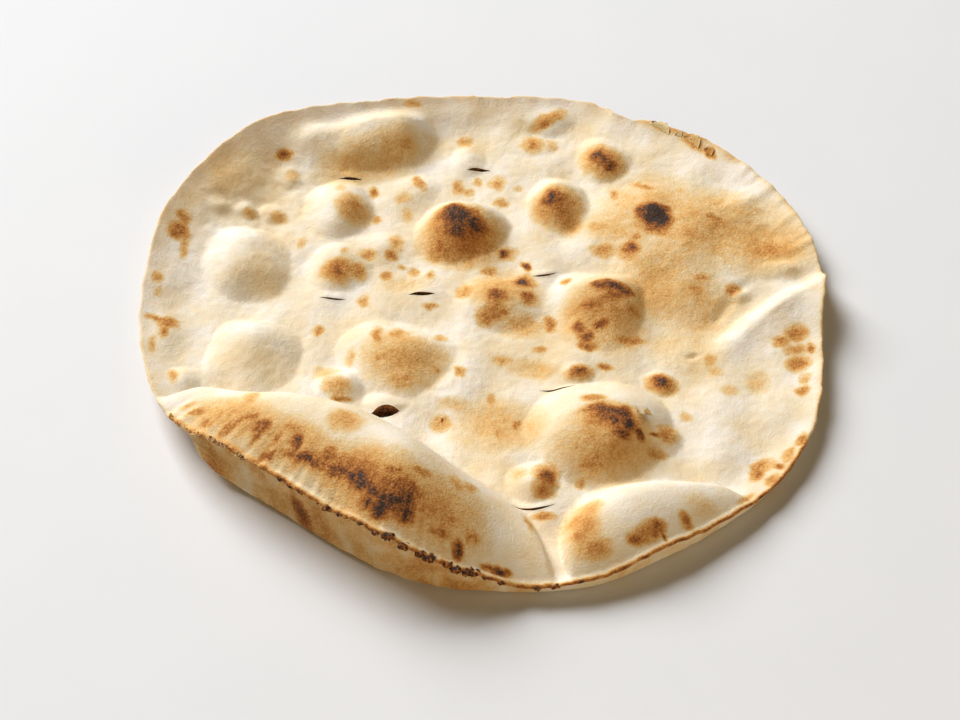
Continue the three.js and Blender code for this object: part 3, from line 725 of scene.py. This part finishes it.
# How much the browning varies, and the pitch
LOWER_BLOTCHES = [(0.2, 11), (0.12, 4)]
LOWER_BLOTCH_SEED = 120
LOWER_SHIFT_PITCH = 8
LOWER_SHIFT_SEEDS = (130, 131)
LOWER_SPOTS = 110
LOWER_SPOT_SEED = 7
LOWER_SPOT_SIZE = (3, 9)
LOWER_SPOT_DARKNESS = (0.4, 0.85)
LOWER_SPREAD = 150
LOWER_LIP_BLEND = 2  # how far in from the lip it takes over from the colour of the upper skin


def lower_toast_at(x, y, z, angle):
    """How far the lower skin is browned, with painted warm bounce light under the front, from 0 to about 1.
    """
    total = np.full_like(x, LOWER_TOAST)
    for start, end, level in LOWER_STRETCHES:
        total += (level - LOWER_TOAST) * window(angle, start, end, LOWER_FADE)
    total += noise_layers(x, y - z, LOWER_BLOTCHES, LOWER_BLOTCH_SEED)
    total = np.maximum(total, 0) ** TOAST_JOIN_POWER
    x_shift, y_shift = (noise(x, y, LOWER_SHIFT_PITCH, seed) for seed in LOWER_SHIFT_SEEDS)
    shifted_x = x + x_shift
    shifted_y = y - z + y_shift
    rng = np.random.default_rng(LOWER_SPOT_SEED)
    for _ in range(LOWER_SPOTS):
        away, around = LOWER_SPREAD * math.sqrt(rng.uniform()), rng.uniform(0, TURN)
        half_length, half_width = rng.uniform(*LOWER_SPOT_SIZE, 2)
        reach_x = (shifted_x - away * math.cos(around)) / half_length
        reach_y = (shifted_y - away * math.sin(around)) / half_width
        spot = rng.uniform(*LOWER_SPOT_DARKNESS) * np.maximum(1 - reach_x ** 2 - reach_y ** 2, 0)
        total += spot ** TOAST_JOIN_POWER
    return total ** (1 / TOAST_JOIN_POWER)


lower_browning_and_bounce = lower_toast_at(*corners.T, angles)
lip_blend = smooth_step((1 - shares) * MEAN_RADIUS / LOWER_LIP_BLEND)
browning_and_painted_light = np.where(is_upper, toast, toast + (lower_browning_and_bounce - toast) * lip_blend)


# Crust finish
# Dry baked flour crust, matt and finely grained, that turns coarser and glossier where it is charred.
# A little light goes through the skin, as it does in bread. The walls of the slits are crumb, browned dark
# partly as toast and partly as painted shade deep in the cuts.

CRUST_GLOSS = 0.2
CRUST_ROUGHNESS = 0.88
CHAR_ROUGHNESS = 0.74
BROWN_SHADE = 0.5  # from which the roughness starts to change
# Light that enters the crust comes out up to this far away in red, less far in green and blue
CRUST_GLOW = 0.22
CRUST_GLOW_DEPTH = 2
CRUST_GLOW_REACH = (1, 0.55, 0.25)
# Pitches of the speckle in the colour, and how much of it goes with the browning and how much is added
FINE_PITCH = 1.1
COARSE_PITCH = 4.5
BROAD_PITCH = 24
FINE_MOTTLE = 1.4
COARSE_MOTTLE = 0.6
FINE_SPECKLE = 0.1
BROAD_CLOUDS = 0.4
NOISE_ROUGHNESS = 0.6
# Pitches and height of the grain, its strength on the skin and on crumb, and the share of it that the
# palest crust has
GRAIN_PITCHES = (0.9, 2.4)
GRAIN_HEIGHT = 0.8
SKIN_GRAIN = 0.6
CRUMB_GRAIN = 0.8
PALE_GRAIN = 0.5
# browning of the slit walls, dark partly as toast and partly as painted shade deep in the cuts
CRUMB_TOAST_AND_SHADE = 0.8
# Browning of the palest crust, and the colour at each step from there to charcoal
LEAST_TOAST = 0.06
TOAST_RAMP = [
    (0.0, (0.86, 0.79, 0.685)),
    (0.07, (0.83, 0.715, 0.53)),
    (0.16, (0.79, 0.62, 0.37)),
    (0.32, (0.73, 0.445, 0.165)),
    (0.5, (0.57, 0.26, 0.067)),
    (0.66, (0.4, 0.145, 0.03)),
    (0.82, (0.24, 0.08, 0.02)),
    (0.93, (0.14, 0.058, 0.027)),
    (1.0, (0.055, 0.034, 0.025)),
]


def add_node(tree, kind, inputs=(), **settings):
    """New shader node, whose inputs are constants or sockets to link from."""
    node = tree.nodes.new(kind)
    for name, value in settings.items():
        setattr(node, name, value)
    for name, value in dict(inputs).items():
        if isinstance(value, bpy.types.NodeSocket):
            tree.links.new(value, node.inputs[name])
        else:
            node.inputs[name].default_value = value
    return node


def calculate(tree, operation, first, second):
    return add_node(tree, "ShaderNodeMath", {0: first, 1: second}, operation=operation).outputs[0]


def add_share(tree, total, value, share):
    """A running total with a share of a value added."""
    terms = {0: value, 1: share, 2: total}
    return add_node(tree, "ShaderNodeMath", terms, operation="MULTIPLY_ADD").outputs[0]


def new_group(name, inputs, outputs):
    """Empty node group with named sockets on both sides, and its two end nodes."""
    tree = bpy.data.node_groups.new(name, "ShaderNodeTree")
    for side, sockets in (("INPUT", inputs), ("OUTPUT", outputs)):
        for socket, kind in sockets.items():
            tree.interface.new_socket(socket, in_out=side, socket_type=kind)
    return tree, tree.nodes.new("NodeGroupInput"), tree.nodes.new("NodeGroupOutput")


def grain(tree, place, pitch, detail):
    """Noise between -0.5 and 0.5 with cells as wide as the pitch in millimetres."""
    settings = {"Vector": place, "Scale": 1 / (pitch * MM), "Detail": detail, "Roughness": NOISE_ROUGHNESS}
    field = add_node(tree, "ShaderNodeTexNoise", settings).outputs["Fac"]
    return calculate(tree, "SUBTRACT", field, 0.5)


def colour_between(tree, value, steps):
    """Colour for a value from 0 to 1, between steps that each have a value and a colour."""
    ramp = add_node(tree, "ShaderNodeValToRGB", {"Fac": value})
    stops = ramp.color_ramp.elements
    for position, _ in steps[1:-1]:
        stops.new(position)
    for stop, (_, colour) in zip(stops, steps):
        stop.color = (*colour, 1)
    return ramp.outputs["Color"]


colour_group, start, finish = new_group(
    "browned_crust", {"Toast": "NodeSocketFloat"},
    {"Color": "NodeSocketColor", "Roughness": "NodeSocketFloat"},
)
place = add_node(colour_group, "ShaderNodeTexCoord").outputs["Object"]
fine = grain(colour_group, place, FINE_PITCH, detail=3)
coarse = grain(colour_group, place, COARSE_PITCH, detail=3)
broad = grain(colour_group, place, BROAD_PITCH, detail=2)
mottle = add_share(colour_group, 1, fine, FINE_MOTTLE)
mottle = add_share(colour_group, mottle, coarse, COARSE_MOTTLE)
shade = calculate(colour_group, "MULTIPLY", start.outputs["Toast"], mottle)
shade = add_share(colour_group, shade, fine, FINE_SPECKLE)
shade = add_share(colour_group, shade, broad, BROAD_CLOUDS)
shade = calculate(colour_group, "ADD", shade, LEAST_TOAST)
rough = add_node(colour_group, "ShaderNodeMapRange", {
    "Value": shade, "From Min": BROWN_SHADE, "To Min": CRUST_ROUGHNESS, "To Max": CHAR_ROUGHNESS,
})
colour_group.links.new(colour_between(colour_group, shade, TOAST_RAMP), finish.inputs["Color"])
colour_group.links.new(rough.outputs["Result"], finish.inputs["Roughness"])

grain_group, start, finish = new_group(
    "crust_grain", {"Toast": "NodeSocketFloat"}, {"Height": "NodeSocketFloat"},
)
place = add_node(grain_group, "ShaderNodeTexCoord").outputs["Object"]
fine, coarse = (grain(grain_group, place, pitch, detail=2) for pitch in GRAIN_PITCHES)
height = calculate(grain_group, "ADD", fine, coarse)
coarseness = calculate(grain_group, "ADD", start.outputs["Toast"], PALE_GRAIN)
height = calculate(grain_group, "MULTIPLY", height, calculate(grain_group, "MINIMUM", coarseness, 1))
grain_group.links.new(height, finish.inputs["Height"])


def crust_material(name, toast_value, bump_strength):
    """Browned crust with a fine grain, toasted as far as a constant or a stored value says."""
    material = bpy.data.materials.new(name)
    material.use_nodes = True
    tree = material.node_tree
    shader = tree.nodes["Principled BSDF"]
    if isinstance(toast_value, str):
        toast_value = add_node(tree, "ShaderNodeAttribute", attribute_name=toast_value).outputs["Fac"]
    shader.inputs["Specular IOR Level"].default_value = CRUST_GLOSS
    shader.inputs["Subsurface Weight"].default_value = CRUST_GLOW
    shader.inputs["Subsurface Scale"].default_value = CRUST_GLOW_DEPTH * MM
    shader.inputs["Subsurface Radius"].default_value = CRUST_GLOW_REACH
    browned = add_node(tree, "ShaderNodeGroup", {"Toast": toast_value}, node_tree=colour_group)
    grained = add_node(tree, "ShaderNodeGroup", {"Toast": toast_value}, node_tree=grain_group)
    tree.links.new(browned.outputs["Color"], shader.inputs["Base Color"])
    tree.links.new(browned.outputs["Roughness"], shader.inputs["Roughness"])
    bump = add_node(tree, "ShaderNodeBump", {
        "Height": grained.outputs["Height"], "Strength": bump_strength, "Distance": GRAIN_HEIGHT * MM,
    })
    tree.links.new(bump.outputs["Normal"], shader.inputs["Normal"])
    return material


skin_material = crust_material("browned_skin", "toast", SKIN_GRAIN)
crumb_material = crust_material("slit_crumb", CRUMB_TOAST_AND_SHADE, CRUMB_GRAIN)

bread = mesh_object("naan_bread", corners, triangles.tolist())
bread.data.attributes.new("toast", "FLOAT", "POINT").data.foreach_set("value", browning_and_painted_light)
bread.data.materials.append(skin_material)
bread.data.materials.append(crumb_material)
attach(bread, "root")
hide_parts("naan")


# Slits
# Short cuts and cracks that let the steam out. Each is cut right through the sheet by an upright blade,
# and shows the crumb on its walls.

SLIT_TOP = 60  # above every crest
SLIT_BOTTOM = -5
SLIT_STEPS = 12
SLIT_EDGE_ANGLE = math.radians(60)  # edges that turn further than this stay sharp


def slit_blade(x, y, length, width, turn, bow):
    """Corners and faces of an upright blade with a pointed outline, as long, wide and bowed as the slit."""
    along = np.linspace(-1, 1, SLIT_STEPS + 1)
    belly = 1 - along ** 2
    front = np.stack([along * length / 2, (bow - width / 2) * belly], 1)
    back = np.stack([along * length / 2, (bow + width / 2) * belly], 1)
    flat = np.concatenate([front, back[-2:0:-1]])
    cos, sin = math.cos(math.radians(turn)), math.sin(math.radians(turn))
    flat = flat @ np.array([[cos, sin], [-sin, cos]]) + (x, y)
    count = len(flat)
    levels = [np.column_stack([flat, np.full(count, level)]) for level in (SLIT_BOTTOM, SLIT_TOP)]
    faces = [(i, (i + 1) % count, (i + 1) % count + count, i + count) for i in range(count)]
    faces += [tuple(range(count - 1, -1, -1)), tuple(range(count, 2 * count))]
    return np.concatenate(levels), faces


def joined(shapes):
    """Corners and faces of several shapes, as those of one mesh."""
    all_points, all_faces, start = [], [], 0
    for points, faces in shapes:
        all_points.append(points)
        all_faces += [[int(corner) + start for corner in face] for face in faces]
        start += len(points)
    return np.concatenate(all_points), all_faces


blades = mesh_object("slit_blades", *joined([slit_blade(*slit) for slit in SLITS]))
blades.data.materials.append(skin_material)
blades.data.materials.append(crumb_material)
blades.data.polygons.foreach_set("material_index", np.ones(len(blades.data.polygons), int))
cut = bread.modifiers.new("slits", "BOOLEAN")
cut.operation = "DIFFERENCE"
cut.solver = "MANIFOLD"
cut.object = blades
bpy.context.view_layer.update()
cut_mesh = bpy.data.meshes.new_from_object(bread.evaluated_get(bpy.context.evaluated_depsgraph_get()))
bread.modifiers.clear()
bread.data = cut_mesh
bpy.data.objects.remove(blades)
bread.data.polygons.foreach_set("use_smooth", np.ones(len(bread.data.polygons), bool))
bread.data.set_sharp_from_angle(angle=SLIT_EDGE_ANGLE)


# Flat layout of the bread's skin: the upper side is a large disc, the lower side a small disc whose curl
# lies outside its flat, and the walls of the slits fill a corner. Scales are shares of the map a millimetre.
UPPER_DISC = {"middle": (0.43, 0.43), "scale": 0.0025}
LOWER_DISC = {"middle": (0.86, 0.86), "scale": 0.0007}
SLIT_CORNER = {"middle": (0.07, 0.93), "scale": 0.0004}


def read_numbers(items, name, width, kind):
    values = np.empty(len(items) * width, kind)
    items.foreach_get(name, values)
    return values.reshape(-1, width)


def disc_place(disc, across, up):
    return np.stack([across, up], 1) * disc["scale"] + disc["middle"]


def lay_out(mesh):
    """Stores the flat layout as the mesh's UV map for baking."""
    place = read_numbers(mesh.vertices, "co", 3, np.float32) / MM
    corner = read_numbers(mesh.loops, "vertex_index", 1, np.int32)[:, 0]
    sides = read_numbers(mesh.polygons, "loop_total", 1, np.int32)[:, 0]
    faces_up = read_numbers(mesh.polygons, "normal", 3, np.float32)[:, 2] > 0
    faces_up = np.repeat(faces_up, sides)[:, None]
    is_wall = read_numbers(mesh.polygons, "material_index", 1, np.int32)[:, 0] == 1
    is_wall = np.repeat(is_wall, sides)[:, None]
    x, y, z = place[corner].T
    spread = 1 + z / np.maximum(np.hypot(x, y), 1)
    flat = np.where(faces_up, disc_place(UPPER_DISC, x, y), disc_place(LOWER_DISC, x * spread, y * spread))
    flat = np.where(is_wall, disc_place(SLIT_CORNER, x, z), flat)
    mesh.uv_layers.new(name="OFBake").uv.foreach_set("vector", flat.astype(np.float32).ravel())


lay_out(bread.data)


# Seam beads
# As the bread baked, dough bubbled out of the seam along the front, and the oven burned it to dark beads.
# Each is a lump sunk halfway into the lip and drawn out along it.

# Degrees round the rim, and half width
SEAM_BEADS = [
    (230, 1.2), (232.5, 1.3), (235, 1.3), (239, 1), (241, 1.8), (243.5, 1.3), (245, 1),
    (248, 1.2), (251, 1.3), (253, 2.2), (256, 2), (259, 1.8), (260.5, 2.2), (263.5, 1.8),
    (265, 2), (267, 2.2), (268, 1.8), (270, 1), (272.5, 1.3), (278.5, 1.5), (281.5, 1.3),
]
BEAD_STRETCH = 1.25
BEAD_DROP = 0.1
BEAD_INSET = 0.4
BEAD_FLATNESS = 0.75
BEAD_LUMPS = 0.6
BEAD_LUMP_PITCH = 1.1
BEAD_LUMP_SEED = 141
BEAD_TOAST = 0.84
BEAD_MOTTLE = 0.6
BEAD_MOTTLE_SEED = 142
BEAD_DIVISIONS = 3


def ball(divisions):
    """Corners and faces of a unit ball."""
    made = bmesh.new()
    bmesh.ops.create_icosphere(made, subdivisions=divisions, radius=1)
    points = np.array([corner.co for corner in made.verts])
    faces = [[corner.index for corner in face.verts] for face in made.faces]
    made.free()
    return points, faces


def dress(piece, toast_values):
    """Smooth shading, stored browning and the crust's finish for a piece that rides with the bread."""
    piece.data.attributes.new("toast", "FLOAT", "POINT").data.foreach_set("value", toast_values)
    piece.data.materials.append(skin_material)
    piece.data.polygons.foreach_set("use_smooth", np.ones(len(piece.data.polygons), bool))
    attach(piece, "root")


ball_points, ball_faces = ball(BEAD_DIVISIONS)
bead_shapes = []
for degrees, half_width in SEAM_BEADS:
    angle = np.array([math.radians(degrees)])
    lip_x, lip_y, low, high, _, _ = skins_at(np.ones(1), angle)
    outward = np.array([math.cos(angle[0]), math.sin(angle[0]), 0])
    along = np.array([-outward[1], outward[0], 0])
    middle = np.array([lip_x[0], lip_y[0], (low[0] + high[0]) / 2 - BEAD_DROP * half_width])
    middle = middle - BEAD_INSET * half_width * outward
    axes = half_width * np.stack([BEAD_STRETCH * along, outward, [0, 0, BEAD_FLATNESS]])
    x, y, z = (middle + ball_points @ axes).T
    lumps = BEAD_LUMPS * noise(x + z, y - z, BEAD_LUMP_PITCH, BEAD_LUMP_SEED)
    bead_shapes.append((middle + (ball_points * (1 + lumps[:, None])) @ axes, ball_faces))
bead_points, bead_faces = joined(bead_shapes)
beads = mesh_object("seam_beads", bead_points, bead_faces)
mottle = noise(bead_points[:, 0], bead_points[:, 1], BEAD_LUMP_PITCH, BEAD_MOTTLE_SEED)
dress(beads, BEAD_TOAST + BEAD_MOTTLE * mottle)


# Torn flakes
# Where the skin tore it stands up in thin dry flakes: two on the front dome, four along the rim at the
# back right, and a frayed fringe on the lip at the front left.

# x and y of the middle of the hinge, its turn in degrees with the flake on its left, length, width, rise
# from hinge to free edge, and browning
FLAKES = [
    (70, -58, 150, 5, 3.5, 2.2, 0.12), (73, -59, 20, 4, 2.5, 1.4, 0.2),
    (87, 127.5, -36, 12, 4.5, 0.5, 0.12), (96, 123, -20, 4, 3, 0.4, 0.1),
    (102, 118.5, -44, 11, 4.5, 0.6, 0.24), (110, 112, -50, 6, 3.5, 0.6, 0.45),
]
# Least and most of each draw for the fringe, whose flakes stand outward give or take the skew
FRINGE_COUNT = 34
FRINGE_DEGREES = (204, 222)
FRINGE_SKEW = (-30, 30)
FRINGE_SIZES = {"length": (1.2, 3.4), "width": (0.8, 2.2), "rise": (0.2, 1.6)}
FRINGE_TOAST = (0.25, 0.5)
FRINGE_INSET = 0.8
FRINGE_SEED = 21
FLAKE_STEPS = 10
FLAKE_ROWS = 6
FLAKE_THICKNESS = 0.35
FLAKE_THINNING = 0.6  # share of the thickness lost at the free edge
FLAKE_TAPER = 0.96
FLAKE_NARROWING = 0.15
FLAKE_SINK = 0.35
FLAKE_RAGGED = 0.5
RAGGED_WAVES = 2.5
RAGGED_STEP = 9  # between the stretches of noise that two flakes are torn by
RAGGED_SEED = 150


def upper_skin_at(x, y):
    angle = np.arctan2(y, x)
    share = np.minimum(np.hypot(x, y) / rim_at(angle)[0], 1)
    return skins_at(share.ravel(), angle.ravel())[3].reshape(x.shape)


def flake_shell(x, y, turn, length, width, rise, number):
    """Corners and faces of a thin ragged sheet that leaves the skin at its hinge and curls up from it."""
    steps, rows = np.linspace(-1, 1, FLAKE_STEPS + 1), np.linspace(0, 1, FLAKE_ROWS + 1)
    along, across = np.meshgrid(steps, rows, indexing="ij")
    tear = noise(RAGGED_WAVES * along + RAGGED_STEP * number, np.zeros_like(along), 1, RAGGED_SEED)
    ragged = 1 + FLAKE_RAGGED * tear
    reach = width * across * ragged * np.sqrt(1 - FLAKE_TAPER * along ** 2)
    run = 0.5 * length * along * (1 - FLAKE_NARROWING * across)
    cos, sin = math.cos(math.radians(turn)), math.sin(math.radians(turn))
    top_x = x + run * cos - reach * sin
    top_y = y + run * sin + reach * cos
    top_z = upper_skin_at(top_x, top_y) - FLAKE_SINK * (1 - across) + rise * across ** 2 * ragged
    thickness = FLAKE_THICKNESS * (1 - FLAKE_THINNING * across)
    top = np.stack([top_x, top_y, top_z + thickness], -1).reshape(-1, 3)
    under = np.stack([top_x, top_y, top_z], -1).reshape(-1, 3)
    count = len(top)
    grid = np.arange(count).reshape(along.shape)
    cells = np.stack([grid[:-1, :-1], grid[1:, :-1], grid[1:, 1:], grid[:-1, 1:]], -1).reshape(-1, 4)
    border = np.concatenate([grid[:-1, 0], grid[-1, :-1], grid[:0:-1, -1], grid[0, :0:-1]])
    following = np.roll(border, -1)
    walls = np.stack([border, border + count, following + count, following], 1)
    return np.concatenate([top, under]), np.concatenate([cells, cells[:, ::-1] + count, walls])


flake_rows = list(FLAKES)
rng = np.random.default_rng(FRINGE_SEED)
for _ in range(FRINGE_COUNT):
    angle = math.radians(rng.uniform(*FRINGE_DEGREES))
    radius = rim_at(np.array(angle))[0] + lip_at(np.array(angle))[0] - FRINGE_INSET
    place = (radius * math.cos(angle), radius * math.sin(angle))
    turn = math.degrees(angle) - 90 + rng.uniform(*FRINGE_SKEW)
    sizes = [rng.uniform(*size) for size in FRINGE_SIZES.values()]
    flake_rows.append((*place, turn, *sizes, rng.uniform(*FRINGE_TOAST)))
flake_shapes = [flake_shell(*sizes, number) for number, (*sizes, _) in enumerate(flake_rows)]
flakes = mesh_object("torn_flakes", *joined(flake_shapes))
dress(flakes, np.repeat([row[-1] for row in flake_rows], len(flake_shapes[0][0])))


# Floor
# A plain pale board, rolled with matt paint that dried a little cloudy. The bread lies on it, and it only
# catches the shadow.

FLOOR_SIZE = 8  # metres
FLOOR_COLOURS = [(0, (0.77, 0.78, 0.8)), (1, (0.73, 0.745, 0.775))]
FLOOR_CLOUDS = 70
FLOOR_ROUGHNESS = 0.7

bpy.ops.mesh.primitive_plane_add(size=FLOOR_SIZE)
floor = bpy.context.object
floor.name = "floor"
floor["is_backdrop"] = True
floor_paint = bpy.data.materials.new("floor_paint")
floor_paint.use_nodes = True
tree = floor_paint.node_tree
shader = tree.nodes["Principled BSDF"]
place = add_node(tree, "ShaderNodeTexCoord").outputs["Object"]
clouds = calculate(tree, "ADD", grain(tree, place, FLOOR_CLOUDS, detail=4), 0.5)
tree.links.new(colour_between(tree, clouds, FLOOR_COLOURS), shader.inputs["Base Color"])
shader.inputs["Roughness"].default_value = FLOOR_ROUGHNESS
floor.data.materials.append(floor_paint)


# Camera
# It looks down on the bread from the front, about as steeply as someone does who stands over it, through
# a long lens.

CAMERA_TARGET = (-2.5, -14, 0)
CAMERA_DISTANCE = 1180
CAMERA_ELEVATION = math.radians(50)
CAMERA_LENS = 95

forward = Vector((0, math.cos(CAMERA_ELEVATION), -math.sin(CAMERA_ELEVATION)))
lens = bpy.data.cameras.new("camera")
lens.lens = CAMERA_LENS
camera = bpy.data.objects.new("camera", lens)
bpy.context.scene.collection.objects.link(camera)
target = Vector(np.array(CAMERA_TARGET) - np.append(outline_middle, 0)) * MM
camera.location = target - forward * CAMERA_DISTANCE * MM
camera.rotation_euler = forward.to_track_quat("-Z", "Y").to_euler()
bpy.context.scene.camera = camera


# Lights
# Soft white light from a window behind on the left, and a warm card at the front right that gives some of
# it back under the belly of the bread. The room adds a little warm light from all round.

# Direction from the bread, distance and size in metres, power in watts, and colour
WINDOW = ((-0.643, 0.766, 0.8), 5, 3.2, 415, (1, 1, 1))
REFLECTOR = ((0.5, -0.85, 0.28), 1.5, 1.2, 8, (1, 0.76, 0.45))
ROOM_COLOUR = (1, 0.82, 0.54)
ROOM_STRENGTH = 0.07


def soft_light(name, direction, distance, size, power, colour):
    """Square light that faces the bread."""
    light = bpy.data.lights.new(name, "AREA")
    light.size = size
    light.energy = power
    light.color = colour
    made = bpy.data.objects.new(name, light)
    bpy.context.scene.collection.objects.link(made)
    made.location = Vector(direction).normalized() * distance
    made.rotation_euler = (-made.location).to_track_quat("-Z", "Y").to_euler()
    made.visible_camera = False


soft_light("window", *WINDOW)
soft_light("reflector", *REFLECTOR)
room = bpy.data.worlds.new("room")
room.use_nodes = True
room_light = room.node_tree.nodes["Background"]
room_light.inputs["Color"].default_value = (*ROOM_COLOUR, 1)
room_light.inputs["Strength"].default_value = ROOM_STRENGTH
bpy.context.scene.world = room
bpy.context.scene.view_settings.view_transform = "Standard"


# Sizes before and after
# The box round the solid as it was loaded, and round the dressed part, in metres.

new_low, new_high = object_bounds()
sizes = {"cad": [list(cad_low), list(cad_high)], "visual": [list(new_low), list(new_high)]}
